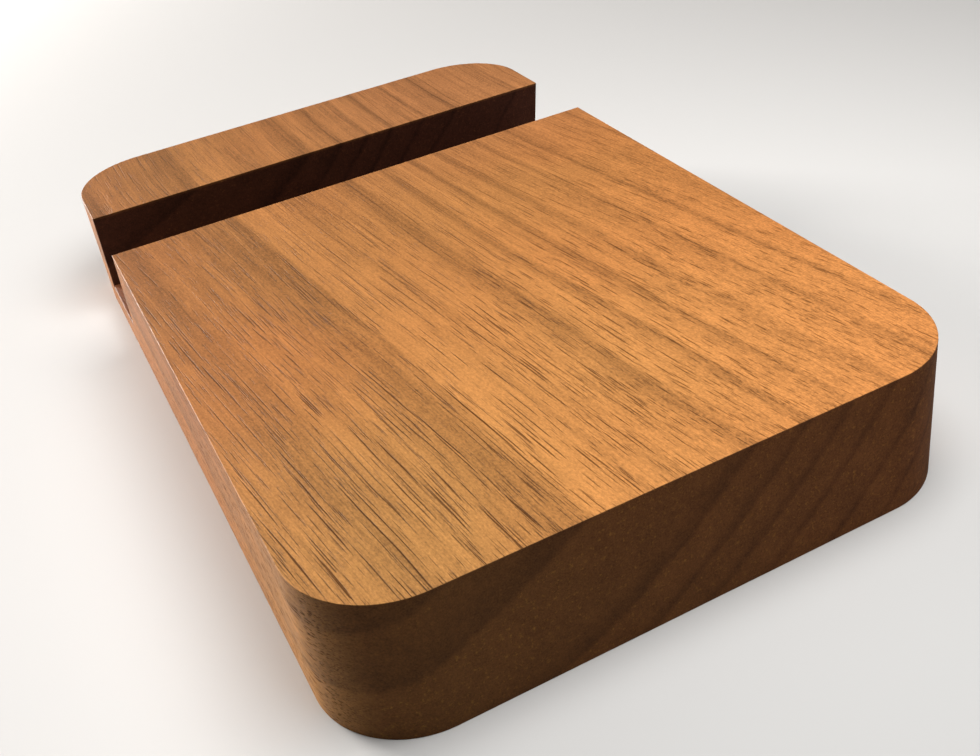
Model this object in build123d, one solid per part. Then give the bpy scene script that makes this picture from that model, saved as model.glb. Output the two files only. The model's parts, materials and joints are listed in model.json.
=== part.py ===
from build123d import *
import math
import os

# Phone stand: one block of walnut with a slanted slot across it for a phone.
#
# The stand is a rounded block lying flat. A slot runs through its full width near one end
# and leans, so that a phone standing in it tips back over the long end of the block.
#
# Frame: millimetres, +Z up, the origin at the centre of the underside. +Y points along the
# length to the end in front of the slot, where the person using the phone sits.

# Driving dimensions, in millimetres and degrees
WIDTH = 80.0  # across, along X
LENGTH = 127.0  # end to end, along Y
THICKNESS = 19.0  # of the planed board
CORNER_RADIUS = 11.5  # of the four upright corners
LIP_LENGTH = 20.6  # top of the lip, from the slot's edge to the end face
SLOT_OPENING = 15.0  # of the slot, measured along the top face
SLOT_DEPTH = 14.0  # straight down from the top face
SLOT_TILT = 15.0  # of the slot's walls, from upright
EDGE_EASE = 0.4  # radius that sanding leaves on the outer edges
SLOT_EASE = 0.3  # radius that sanding leaves on the slot's two top edges

OVERCUT = 5.0  # how far the cutter runs past the block on its open sides
HALF_LENGTH = LENGTH / 2
SLOT_FRONT_Y = HALF_LENGTH - LIP_LENGTH
SLOT_BACK_Y = SLOT_FRONT_Y - SLOT_OPENING


def board():
    """The block before the slot is cut: a rounded rectangle of the board's thickness."""
    with BuildPart() as blank:
        with BuildSketch():
            RectangleRounded(WIDTH, LENGTH, CORNER_RADIUS)
        extrude(amount=THICKNESS)
        rims = blank.faces().filter_by(Axis.Z)
        fillet(rims.edges(), EDGE_EASE)
    return blank.part


def slot_cutter():
    """The slot's space: a leaning strip whose floor lies nearer the lip than its mouth."""
    slope = math.tan(math.radians(SLOT_TILT))
    floor_z = THICKNESS - SLOT_DEPTH
    mouth_z = THICKNESS + OVERCUT
    floor_shift = SLOT_DEPTH * slope
    mouth_shift = -OVERCUT * slope
    section = Polyline(
        (SLOT_BACK_Y + floor_shift, floor_z),
        (SLOT_FRONT_Y + floor_shift, floor_z),
        (SLOT_FRONT_Y + mouth_shift, mouth_z),
        (SLOT_BACK_Y + mouth_shift, mouth_z),
        close=True,
    )
    profile = Plane.YZ * make_face(section)
    return extrude(profile, amount=WIDTH / 2 + OVERCUT, both=True)


def stand_block():
    """The finished block, with the slot cut through its width and the slot's mouth eased."""
    block = board() - slot_cutter()
    mouth = block.edges().filter_by(Axis.X).filter_by_position(
        Axis.Y, SLOT_BACK_Y - EDGE_EASE, SLOT_FRONT_Y + EDGE_EASE
    ).group_by(Axis.Z)[-1]
    return fillet(mouth, SLOT_EASE)


def main():
    os.makedirs("parts", exist_ok=True)
    export_step(stand_block(), "parts/walnut_block.step")


main()
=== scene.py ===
import json
import math

import bmesh
import bpy
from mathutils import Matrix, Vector, noise


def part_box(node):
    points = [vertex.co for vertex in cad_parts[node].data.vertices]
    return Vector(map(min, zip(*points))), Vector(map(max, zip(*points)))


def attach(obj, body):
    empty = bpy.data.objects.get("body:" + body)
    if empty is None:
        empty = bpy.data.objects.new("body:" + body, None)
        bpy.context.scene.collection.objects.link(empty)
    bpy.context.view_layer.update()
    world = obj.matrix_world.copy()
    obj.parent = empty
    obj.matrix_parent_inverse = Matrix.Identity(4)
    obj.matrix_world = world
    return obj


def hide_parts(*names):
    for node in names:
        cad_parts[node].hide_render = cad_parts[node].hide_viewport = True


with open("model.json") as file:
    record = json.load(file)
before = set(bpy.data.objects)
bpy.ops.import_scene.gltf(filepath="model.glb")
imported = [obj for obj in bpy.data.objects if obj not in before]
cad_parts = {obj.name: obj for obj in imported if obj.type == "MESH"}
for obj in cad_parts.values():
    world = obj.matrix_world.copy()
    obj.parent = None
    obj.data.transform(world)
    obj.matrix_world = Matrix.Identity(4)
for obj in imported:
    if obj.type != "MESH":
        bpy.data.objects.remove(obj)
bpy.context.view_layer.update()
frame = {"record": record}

# Phone stand: the finish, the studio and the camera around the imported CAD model.
#
# One block of walnut with a leaning slot across it. Everything is in metres in the CAD model's
# frame, except the mesh and the wood's pattern, which are worked out in millimetres. -Y is the
# near end, +X the right side, and +Y the far end, where the lip is.

NODE = "walnut_block"
MM = 0.001
LOW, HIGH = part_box(NODE)
MOUNTS = {mount["name"]: mount for mount in frame["record"]["mounts"]}

# The block, in millimetres, from the CAD model's box and mounts
HALF_WIDTH = HIGH.x / MM
HALF_LENGTH = HIGH.y / MM
THICKNESS = HIGH.z / MM
CORNER_RADIUS = 11.5
STRAIGHT_X = HALF_WIDTH - CORNER_RADIUS
STRAIGHT_Y = HALF_LENGTH - CORNER_RADIUS
SLOT_OPENING = 15.0
SLOT_FLOOR_Z = MOUNTS["phone_floor"]["pos_m"][2] / MM
SLOT_MOUTH_Y = MOUNTS["phone_slot"]["pos_m"][1] / MM
SLOT_LEAN = -MOUNTS["phone_slot"]["axis"][1] / MOUNTS["phone_slot"]["axis"][2]
SLOT_BACK_Y = SLOT_MOUTH_Y - SLOT_OPENING / 2
SLOT_FRONT_Y = SLOT_MOUTH_Y + SLOT_OPENING / 2

# The mesh, in millimetres
STEP = 0.9  # size of its squares
LEAN_FROM_Y = -20.0  # from here to the slot its lines lean more and more with the slot
LEAN_TO_Y = STRAIGHT_Y - 1.0  # from the slot to here they come upright again
SHARP_TURN = math.radians(40)  # an edge that turns more than this is a real edge
EDGE_EASE = 0.6  # the most that sanding has rounded an upright edge
LEVEL_EASE = 0.6  # how far the level edges are rounded, as a share of the upright ones
LONG_WAVER, SHORT_WAVER = 7.0, 2.0  # lengths over which the rounding comes and goes

# The tree's centre runs along Y, outside the block. Each ring ends where its dark late wood
# meets the next ring's light wood, given as a place across the top face at its near end.
PITH_X = -55.0
PITH_Z = THICKNESS + 59.0
RING_ENDS_ON_TOP = (-44.0, -26.0, -11.0, 9.0, 16.0, 22.0, 28.0, 35.0, 41.0, 53.0, 68.0)
DARK_HEART_END = -11.0  # the rings up to this one are darker
LATE_WOOD = 5.5  # width of the dark part of the innermost ring; it narrows outward
LATE_SHARE = 0.6  # the most of a ring's width that is late wood
RING_STEP = (0.4, 0.3)  # how far before and after a ring's end the step in tone begins and ends
RING_WAVER = 0.8  # how far the rings' ends stray in and out

# Tones of a ring, from 0 for dark to 1 for light
EARLY_TONE, MIDDLE_TONE, LATE_TONE = 0.73, 0.63, 0.3
HEART_DARKER = 0.11

# The fibres drift to the left towards the far end, along a bend that starts to turn at
# DRIFT_FROM_Y, and the right side drifts more.
DRIFT_FROM_Y = 45.0
DRIFT_BEND = 15.0
DRIFT_SLOPE = 0.0575
DRIFT_MOST = 12.5
DRIFT_RIGHT = (-5.0, 18.0)  # where across the block the drift grows, and by how much it does
DRIFT_RIGHT_MORE = 1.45
FIBRE_WAVER = (0.06, 0.025)  # turns per millimetre across and along the fibres
SIDE_WAVER, RISE_WAVER = 1.6, 1.2

# The wood grows wilder towards the near right corner: its fibres dive into the block there.
TO_NEAR_RIGHT = (0.9, -0.5)
WILD_REACH = 65.0
DIVE = 0.0012

# Patterns in the wood: the size of their cells across and along the fibres, in millimetres
RING_EDGE_GRAIN = (2.2, 30.0)
STREAKS = (0.8, 60.0)
BANDS = (3.0, 90.0)
FIBRES = (0.2, 8.0)
SPECKS = (0.22, 0.5)
MOTTLE = (4.0, 7.0)
CURL = (0.6, 0.4)
CLOUDS = (22.0, 35.0)
END_FLECKS = (0.5, 4.0)
PORE_SWAY = (1.5, 7.0)
PORE_CROWDS = (2.6, 32.0)

# Three sizes of cut vessel: cell across and along in millimetres, reach in cells, and a seed
LONG_PORES = (0.29, 36.0, 0.30, 3.7)
MIDDLE_PORES = (0.27, 17.0, 0.30, 11.3)
SHORT_PORES = (0.26, 7.0, 0.29, 23.1)
SHORT_PORE_DEPTH = 0.8

# Where the wood's hue, its painted light and its pores change along and across the block
PAINTED_LIGHT_FALLS_Y = (-60.0, 30.0)
GOLDEN_FADES_Y = (-60.0, -10.0)
ROSY_GROWS_Y = (-50.0, -5.0)
ROSY_FADES_ACROSS = (-28.0, -8.0)
DULL_GROWS_Y = (0.0, 52.0)
DULL_GROWS_X = (-35.0, 25.0)
PORES_FADE_Y = (-35.0, 35.0)

# The painted shade in the slot starts over these distances from the top, the floor and the walls
SLOT_SHADE_UNDER_TOP = (0.6, 0.2)
SLOT_SHADE_OVER_FLOOR = (0.6, 0.1)
SLOT_SHADE_PAST_WALLS = (0.1, 0.3)

# How much each pattern moves the wood from dark to light
RING_WEIGHT = 0.75
STREAK_WEIGHT = 0.6
BAND_WEIGHT = 0.35
FIBRE_WEIGHT = 0.6
# Lighter towards the near right corner: partly the wood's own lighter figure, partly painted light from
# the lamp there
WILD_TONE_AND_PAINTED_LIGHT = 0.08
SPECK_WEIGHTS = (0.5, 1.0)  # added where the wood is wild, and everywhere
MOTTLE_WEIGHTS = (0.4, 0.2)
CURL_WEIGHTS = (0.45, 0.0)
# Painted light and shade: the wood is lighter at the near end and darker at the far end, as the key
# lamp's light falls off along the block
NEAR_PAINTED_LIGHT, FAR_PAINTED_SHADE = 0.11, -0.06

# Colours, linear
DARK_WOOD = (0.165, 0.069, 0.021, 1)
LIGHT_WOOD = (0.58, 0.249, 0.073, 1)
# Tints, which multiply the wood's colour
GOLDEN = (0.96, 1.06, 1.04, 1)
ROSY = (1.02, 0.92, 0.9, 1)
DULL = (1.0, 0.98, 1.22, 1)
PORE_TINT = (0.25, 0.19, 0.08, 1)
DARK_END = (0.27, 0.237, 0.24, 1)
LIGHT_END = (0.58, 0.56, 0.38, 1)
# Painted shade: this tint darkens the slot's floor and walls, where shade falls in the slot
SLOT_PAINTED_SHADE = (0.52, 0.43, 0.6, 1)
FLOOR_GREY = (0.64, 0.64, 0.64, 1)

# The finish
BUMP_DEPTH = 0.06  # millimetres
GLOSS = {"IOR": 1.4, "Specular IOR Level": 0.16}

# The studio, in metres and watts
FLOOR_SIZE = 8.0
SKY_STRENGTH = 0.05
NEUTRAL_WARM = (1.0, 0.985, 0.96)
WARM = (1.0, 0.95, 0.90)

# The camera looks down on the near end from its left, turned a little about its own axis.
CAMERA_PLACE = (-0.05127, -0.14554, 0.09897)
CAMERA_TURN = (57.40, 6.80, -27.52)
CAMERA_LENS, CAMERA_SENSOR = 44.88, 36.0
CAMERA_SHIFT = (-0.028, -0.044)


def spaced(start, end, step):
    """Numbers from start to end, evenly spaced by about step."""
    count = max(1, round(abs(end - start) / step))
    return [start + (end - start) * i / count for i in range(count + 1)]


def smooth(low, high, value):
    """0 below low, 1 above high, with a soft passage between them."""
    share = min(1.0, max(0.0, (value - low) / (high - low)))
    return share * share * (3 - 2 * share)


def round_corner(x, y):
    """A point of the full rectangle, moved so that its square corners become quarter discs."""
    if abs(x) <= STRAIGHT_X or abs(y) <= STRAIGHT_Y:
        return x, y
    across = (abs(x) - STRAIGHT_X) / CORNER_RADIUS
    along = (abs(y) - STRAIGHT_Y) / CORNER_RADIUS
    out_x = STRAIGHT_X + CORNER_RADIUS * across * math.sqrt(1 - along * along / 2)
    out_y = STRAIGHT_Y + CORNER_RADIUS * along * math.sqrt(1 - across * across / 2)
    return math.copysign(out_x, x), math.copysign(out_y, y)


def lean(y):
    """How much a line that crosses the thickness at y leans with the slot: 1 at the slot."""
    return smooth(LEAN_FROM_Y, SLOT_BACK_Y, y) * (1 - smooth(SLOT_FRONT_Y, LEAN_TO_Y, y))


def block_mesh():
    """The block's surface in squares: lines along it, across it and through its thickness."""
    columns = spaced(-HALF_WIDTH, HALF_WIDTH, STEP)
    body = spaced(-HALF_LENGTH, SLOT_BACK_Y, STEP)
    slot = spaced(SLOT_BACK_Y, SLOT_FRONT_Y, STEP)
    lip = spaced(SLOT_FRONT_Y, HALF_LENGTH, STEP)
    ribs = body + slot[1:] + lip[1:]
    low_levels = spaced(0.0, SLOT_FLOOR_Z, STEP)
    levels = low_levels + spaced(SLOT_FLOOR_Z, THICKNESS, STEP)[1:]
    back_rib = len(body) - 1
    front_rib = back_rib + len(slot) - 1
    floor_level = len(low_levels) - 1
    last_rib, last_level, last_column = len(ribs) - 1, len(levels) - 1, len(columns) - 1

    mesh = bmesh.new()
    made = {}

    def vertex(rib, level, column):
        key = (rib, level, column)
        if key not in made:
            x, y = round_corner(columns[column], ribs[rib])
            y += (THICKNESS - levels[level]) * SLOT_LEAN * lean(ribs[rib])
            made[key] = mesh.verts.new((x * MM, y * MM, levels[level] * MM))
        return made[key]

    def square(*corners):
        mesh.faces.new([vertex(*corner) for corner in corners])

    def top_level(rib):
        return floor_level if back_rib <= rib < front_rib else last_level

    for rib in range(last_rib):
        top = top_level(rib)
        for column in range(last_column):
            for level in (0, top):
                square((rib, level, column), (rib, level, column + 1),
                       (rib + 1, level, column + 1), (rib + 1, level, column))
        for level in range(top):
            for column in (0, last_column):
                square((rib, level, column), (rib + 1, level, column),
                       (rib + 1, level + 1, column), (rib, level + 1, column))
    for rib in (0, back_rib, front_rib, last_rib):
        for level in range(floor_level if rib in (back_rib, front_rib) else 0, last_level):
            for column in range(last_column):
                square((rib, level, column), (rib, level, column + 1),
                       (rib, level + 1, column + 1), (rib, level + 1, column))
    bmesh.ops.recalc_face_normals(mesh, faces=mesh.faces)
    return mesh


def ease_edges(mesh):
    """Marks how far each outer edge is rounded, unevenly, as hand sanding leaves it."""
    weights = mesh.edges.layers.float.new("bevel_weight_edge")
    for edge in mesh.edges:
        turn = edge.calc_face_angle_signed()
        if turn > SHARP_TURN:
            middle = (edge.verts[0].co + edge.verts[1].co) / 2 / MM
            waver = noise.noise(middle / LONG_WAVER) + 0.5 * noise.noise(middle / SHORT_WAVER)
            upright = abs(edge.verts[0].co.z - edge.verts[1].co.z) > 0.5 * edge.calc_length()
            share = min(1.0, max(0.5, 0.8 + 0.4 * waver))
            edge[weights] = (1.0 if upright else LEVEL_EASE) * share
        elif turn < -SHARP_TURN:
            edge.smooth = False


def sanded_block():
    """The block's mesh as an object, with its edges rounded by a weighted bevel."""
    mesh = block_mesh()
    ease_edges(mesh)
    for face in mesh.faces:
        face.smooth = True
    data = bpy.data.meshes.new("walnut_block_sanded")
    mesh.to_mesh(data)
    mesh.free()
    block = bpy.data.objects.new("walnut_block_sanded", data)
    bpy.context.scene.collection.objects.link(block)
    bevel = block.modifiers.new("eased_edges", "BEVEL")
    bevel.limit_method = "WEIGHT"
    bevel.width = EDGE_EASE * MM
    bevel.segments = 3
    bevel.harden_normals = True
    return block


class Graph:
    """Adds shader nodes to one material and joins them."""

    def __init__(self, name):
        self.material = bpy.data.materials.new(name)
        self.material.use_nodes = True
        self.tree = self.material.node_tree
        self.tree.nodes.clear()

    def add(self, kind, inputs=None, **settings):
        node = self.tree.nodes.new(kind)
        for key, value in settings.items():
            setattr(node, key, value)
        for key, value in (inputs or {}).items():
            self.feed(node.inputs[key], value)
        return node

    def feed(self, socket, value):
        if isinstance(value, bpy.types.NodeSocket):
            self.tree.links.new(value, socket)
        else:
            socket.default_value = value

    def surface(self, inputs):
        """Ends the graph with a Principled shader."""
        shader = self.add("ShaderNodeBsdfPrincipled", inputs)
        self.add("ShaderNodeOutputMaterial", {"Surface": shader.outputs["BSDF"]})
        return self.material

    def math(self, operation, *values):
        node = self.add("ShaderNodeMath", operation=operation)
        for socket, value in zip(node.inputs, values):
            self.feed(socket, value)
        return node.outputs[0]

    def chain(self, operation, values):
        total = values[0]
        for value in values[1:]:
            total = self.math(operation, total, value)
        return total

    def sum(self, *values):
        return self.chain("ADD", values)

    def product(self, *values):
        return self.chain("MULTIPLY", values)

    def most(self, *values):
        return self.chain("MAXIMUM", values)

    def line(self, value, slope, offset=0.0):
        return self.math("MULTIPLY_ADD", value, slope, offset)

    def centred(self, value, size=1.0):
        """A pattern from 0 to 1, stretched to size and centred on 0."""
        return self.line(value, size, -size / 2)

    def length(self, x, y):
        return self.math("SQRT", self.sum(self.product(x, x), self.product(y, y)))

    def vector(self, x=0.0, y=0.0, z=0.0):
        return self.add("ShaderNodeCombineXYZ", {"X": x, "Y": y, "Z": z}).outputs[0]

    def split(self, vector):
        return self.add("ShaderNodeSeparateXYZ", {"Vector": vector}).outputs

    def span(self, value, low, high, to_low=0.0, to_high=1.0, soft=True):
        """value, carried from low..high over to to_low..to_high, and held outside it."""
        ends = {"Value": value, "From Min": low, "From Max": high,
                "To Min": to_low, "To Max": to_high}
        kind = "SMOOTHSTEP" if soft else "LINEAR"
        return self.add("ShaderNodeMapRange", ends, interpolation_type=kind).outputs["Result"]

    def noise(self, place, detail=2.0, roughness=0.5):
        settings = {"Vector": place, "Scale": 1.0, "Detail": detail, "Roughness": roughness}
        return self.add("ShaderNodeTexNoise", settings).outputs["Fac"]

    def blend(self, share, first, second, kind="MIX"):
        node = self.add("ShaderNodeMix", data_type="RGBA", blend_type=kind)
        colours = [socket for socket in node.inputs if socket.type == "RGBA"]
        self.feed(node.inputs["Factor"], share)
        self.feed(colours[0], first)
        self.feed(colours[1], second)
        return [socket for socket in node.outputs if socket.type == "RGBA"][0]

    def tinted(self, colour, tint):
        return self.blend(1.0, colour, tint, "MULTIPLY")

    def tint_by(self, share, colour, tint):
        """colour, tinted as far as share says."""
        return self.blend(share, colour, self.tinted(colour, tint))


class Wood(Graph):
    """A solid block of wood: its fibres run roughly along Y, with rings around a far centre."""

    def __init__(self, name):
        super().__init__(name)
        place = self.add("ShaderNodeTexCoord")
        in_mm = self.add("ShaderNodeVectorMath", {0: place.outputs["Object"], "Scale": 1 / MM},
                         operation="SCALE")
        self.x, self.y, self.z = self.split(in_mm.outputs[0])
        self.normal = self.split(place.outputs["Normal"])
        self.across, self.up = self.follow_fibres()
        cornerward = self.sum(self.line(self.x, TO_NEAR_RIGHT[0]), self.line(self.y, TO_NEAR_RIGHT[1]))
        self.wild = self.span(cornerward, 0.0, WILD_REACH)
        inward = self.most(cornerward, 0.0)
        self.deep = self.sum(self.up, self.product(inward, inward, DIVE))

    def follow_fibres(self):
        """Places across the fibres and up through them, which drift and waver along the block."""
        ahead = self.line(self.y, -1.0, DRIFT_FROM_Y)
        bend = self.length(ahead, DRIFT_BEND)
        drift = self.line(self.sum(ahead, bend), DRIFT_SLOPE, -DRIFT_MOST)
        drift = self.product(drift, self.span(self.x, *DRIFT_RIGHT, 1.0, DRIFT_RIGHT_MORE))
        straight = self.math("SUBTRACT", self.x, drift)
        across, along = FIBRE_WAVER

        def waver(shift, size):
            place = self.vector(self.line(straight, across, shift), self.line(self.y, along),
                                self.line(self.z, across))
            return self.centred(self.noise(place, 1.0), size)

        return self.sum(straight, waver(0.0, SIDE_WAVER)), self.sum(self.z, waver(9.0, RISE_WAVER))

    def at(self, across, along, seed=0.0, deep=False):
        """A place for a texture with cells of a size across and along the fibres. A deep one
        follows the fibres down into the block, so that the top face cuts it shorter there."""
        return self.vector(self.line(self.across, 1 / across, seed), self.line(self.y, 1 / along, seed),
                           self.line(self.deep if deep else self.up, 1 / across))

    def rings(self):
        """How light the wood is from its growth rings: each darkens outward and ends sharply."""
        out = self.line(self.across, 1.0, -PITH_X)
        down = self.line(self.up, -1.0, PITH_Z)
        uneven = self.centred(self.noise(self.at(*RING_EDGE_GRAIN), 3.0), RING_WAVER)
        radius = self.sum(self.length(out, down), uneven)
        ends = [math.hypot(x - PITH_X, PITH_Z - THICKNESS) for x in RING_ENDS_ON_TOP]
        first, last = ends[0], ends[-1]
        tones = []
        for inner, outer, top_x in zip(ends, ends[1:], RING_ENDS_ON_TOP[1:]):
            late = min(LATE_WOOD * (first / inner) ** 3, LATE_SHARE * (outer - inner))
            heart = HEART_DARKER if top_x <= DARK_HEART_END else 0.0
            tones.append((inner + RING_STEP[1], EARLY_TONE - heart))
            tones.append((outer - late, MIDDLE_TONE - heart))
            tones.append((outer - RING_STEP[0], LATE_TONE))
        ramp = self.add("ShaderNodeValToRGB", {"Fac": self.span(radius, first, last, soft=False)})
        stops = ramp.color_ramp.elements
        while len(stops) < len(tones):
            stops.new(1.0)
        for stop, (distance, tone) in zip(stops, tones):
            stop.position = (distance - first) / (last - first)
            stop.color = (tone, tone, tone, 1.0)
        return ramp.outputs["Color"]

    def painted_slot_shade(self):
        """1 on the slot's floor and walls, where shade is painted, 0 on the faces that were planed and
        sanded.
        """
        below = self.span(self.z, *[THICKNESS - gap for gap in SLOT_SHADE_UNDER_TOP], 1.0, 0.0)
        above = self.span(self.z, *[SLOT_FLOOR_Z - gap for gap in SLOT_SHADE_OVER_FLOOR])
        middle = self.line(self.z, -SLOT_LEAN, SLOT_MOUTH_Y + THICKNESS * SLOT_LEAN)
        away = self.math("ABSOLUTE", self.math("SUBTRACT", self.y, middle))
        near = self.span(away, *[SLOT_OPENING / 2 + gap for gap in SLOT_SHADE_PAST_WALLS], 1.0, 0.0)
        return self.product(below, above, near)

    def on_end_grain(self):
        """1 where the surface cuts across the fibres, 0 on the top and the long sides."""
        ahead = self.math("ABSOLUTE", self.normal[1])
        above = self.math("ABSOLUTE", self.normal[2])
        return self.span(self.sum(ahead, self.line(above, -0.35)), 0.25, 0.85)

    def pores(self, across, along, reach, seed):
        """Cut vessels: long thin grooves along the fibres, dots across them. 1 in a vessel."""
        sway = self.centred(self.noise(self.at(*PORE_SWAY, seed), 1.0), 0.8)
        cell = self.at(across, along, seed, deep=True)
        place = self.add("ShaderNodeVectorMath", {0: cell, 1: self.vector(sway)}, operation="ADD")
        cells = self.add("ShaderNodeTexVoronoi", {"Vector": place.outputs[0], "Scale": 1.0})
        position = cells.outputs["Position"]
        luck = self.add("ShaderNodeTexWhiteNoise", {"Vector": position}).outputs["Value"]
        crowd = self.span(self.noise(self.at(*PORE_CROWDS, seed), 1.0), 0.36, 0.62, 0.72, 1.2)
        size = self.product(self.line(luck, reach, 0.4 * reach), crowd)
        share = self.math("DIVIDE", cells.outputs["Distance"], size)
        return self.product(self.span(share, 1.0, 0.5), self.line(luck, 0.4, 0.6))

    def grooves(self, endness):
        """The vessels of all three sizes, shallower far away, in wild wood and on end grain."""
        short = self.line(self.pores(*SHORT_PORES), SHORT_PORE_DEPTH)
        groove = self.most(self.pores(*LONG_PORES), self.pores(*MIDDLE_PORES), short)
        nearness = self.span(self.y, *PORES_FADE_Y, 1.0, 0.45)
        return self.product(groove, nearness, self.line(self.wild, -0.35, 1.0),
                            self.line(endness, -0.8, 1.0))

    def base_colour(self, ring, fibre, speck):
        """The planed wood without its pores, with painted light that brightens it towards the near end
        and, together with the wood's own figure, towards the near right corner.
        """
        streak = self.noise(self.at(*STREAKS), 3.0, 0.6)
        band = self.noise(self.at(*BANDS, 6.0), 2.0)
        mottle = self.noise(self.at(*MOTTLE, 7.0), 3.0, 0.55)
        curl = self.noise(self.at(*CURL, 9.0), 2.0, 0.6)
        shade = self.sum(self.line(ring, RING_WEIGHT), self.centred(streak, STREAK_WEIGHT),
                         self.centred(band, BAND_WEIGHT), self.centred(fibre, FIBRE_WEIGHT),
                         self.product(self.centred(speck), self.line(self.wild, *SPECK_WEIGHTS)),
                         self.product(self.centred(mottle), self.line(self.wild, *MOTTLE_WEIGHTS)),
                         self.product(self.centred(curl), self.line(self.wild, *CURL_WEIGHTS)),
                         # partly the wood's own figure, partly painted light: lighter towards the near
                         # right corner
                         self.line(self.wild, WILD_TONE_AND_PAINTED_LIGHT),
                         # painted light: lighter towards the near end, darker towards the far end
                         self.span(self.y, *PAINTED_LIGHT_FALLS_Y, NEAR_PAINTED_LIGHT, FAR_PAINTED_SHADE))
        return self.blend(shade, DARK_WOOD, LIGHT_WOOD)

    def flushed(self, colour):
        """The wood's hue drifts: golden near left, rosy far left and near right, dull far right."""
        cloud = self.noise(self.at(*CLOUDS, 4.0), 2.0)
        calm = self.line(self.wild, -1.0, 1.0)
        near_left = self.product(self.span(self.y, *GOLDEN_FADES_Y, 1.0, 0.0), calm)
        colour = self.tint_by(near_left, colour, GOLDEN)
        left = self.span(self.across, *ROSY_FADES_ACROSS, 0.7, 0.0)
        far_left = self.product(self.span(self.y, *ROSY_GROWS_Y), left)
        flush = self.sum(self.span(cloud, 0.35, 0.75, 0.0, 0.5), self.line(self.wild, 0.6), far_left)
        colour = self.tint_by(flush, colour, ROSY)
        far_right = self.product(self.span(self.y, *DULL_GROWS_Y), self.span(self.x, *DULL_GROWS_X))
        return self.tint_by(far_right, colour, DULL)

    def end_grain(self, colour, ring):
        """The wood cut across its fibres: dark, with pale flecks in the rings' light parts."""
        fleck = self.span(self.noise(self.at(*END_FLECKS, 13.0), 3.0, 0.75), 0.54, 0.72)
        fleck = self.product(fleck, self.span(ring, 0.5, 0.7), 0.7)
        return self.blend(fleck, self.tinted(colour, DARK_END), self.tinted(colour, LIGHT_END))


def walnut():
    g = Wood("oiled_walnut")
    ring = g.rings()
    fibre = g.noise(g.at(*FIBRES, 5.0, deep=True), 3.0, 0.6)
    speck = g.noise(g.at(*SPECKS, 2.0), 2.0, 0.7)
    endness = g.on_end_grain()
    groove = g.grooves(endness)

    colour = g.flushed(g.base_colour(ring, fibre, speck))
    colour = g.tint_by(groove, colour, PORE_TINT)
    colour = g.blend(endness, colour, g.end_grain(colour, ring))
    # Painted shade: the slot's floor and walls are darkened where shade falls in the slot
    colour = g.tint_by(g.painted_slot_shade(), colour, SLOT_PAINTED_SHADE)

    height = g.sum(g.line(groove, -1.0), g.line(fibre, 0.3), g.line(speck, 0.15))
    relief = {"Height": height, "Strength": 0.6, "Distance": BUMP_DEPTH * MM}
    bump = g.add("ShaderNodeBump", relief)
    roughness = g.sum(g.line(groove, 0.25, 0.42), g.line(fibre, 0.12), g.line(endness, 0.4))
    return g.surface({"Base Color": colour, "Roughness": roughness,
                      "Normal": bump.outputs["Normal"], **GLOSS})


def studio_floor():
    """A plain pale floor that reaches well past the view."""
    bpy.ops.mesh.primitive_plane_add(size=FLOOR_SIZE, location=(0, 0, LOW.z))
    floor = bpy.context.object
    floor.name = "studio_floor"
    material = Graph("studio_floor").surface({"Base Color": FLOOR_GREY, "Roughness": 0.9})
    floor.data.materials.append(material)


def softbox(name, place, size, watts, colour):
    """A square area light that faces the middle of the block's top."""
    lamp = bpy.data.lights.new(name, "AREA")
    lamp.shape = "SQUARE"
    lamp.size = size
    lamp.energy = watts
    lamp.color = colour
    light = bpy.data.objects.new(name, lamp)
    light.location = place
    light.visible_camera = False
    towards = Vector((0, 0, HIGH.z)) - light.location
    light.rotation_euler = towards.to_track_quat("-Z", "Y").to_euler()
    bpy.context.scene.collection.objects.link(light)


def studio_light():
    """A small lamp close above the near end, a soft one high behind, one low at the left back."""
    world = bpy.data.worlds.new("studio")
    world.use_nodes = True
    sky = world.node_tree.nodes["Background"]
    sky.inputs["Color"].default_value = (1.0, 1.0, 1.0, 1)
    sky.inputs["Strength"].default_value = SKY_STRENGTH
    bpy.context.scene.world = world
    softbox("key", place=(0.03, -0.068, 0.19), size=0.14, watts=0.49, colour=NEUTRAL_WARM)
    softbox("ceiling", place=(-0.30, 0.80, 1.10), size=0.9, watts=1.8, colour=NEUTRAL_WARM)
    softbox("side", place=(-0.32, 0.64, 0.14), size=0.26, watts=13.5, colour=WARM)
    bpy.context.scene.view_settings.view_transform = "Standard"


def camera():
    data = bpy.data.cameras.new("camera")
    data.lens = CAMERA_LENS
    data.sensor_width = CAMERA_SENSOR
    data.shift_x, data.shift_y = CAMERA_SHIFT
    data.clip_start = 0.01
    eye = bpy.data.objects.new("camera", data)
    eye.location = CAMERA_PLACE
    eye.rotation_euler = [math.radians(angle) for angle in CAMERA_TURN]
    bpy.context.scene.collection.objects.link(eye)
    bpy.context.scene.camera = eye


camera()
studio_light()
studio_floor()
block = sanded_block()
block.data.materials.append(walnut())
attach(block, "root")
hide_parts(NODE)
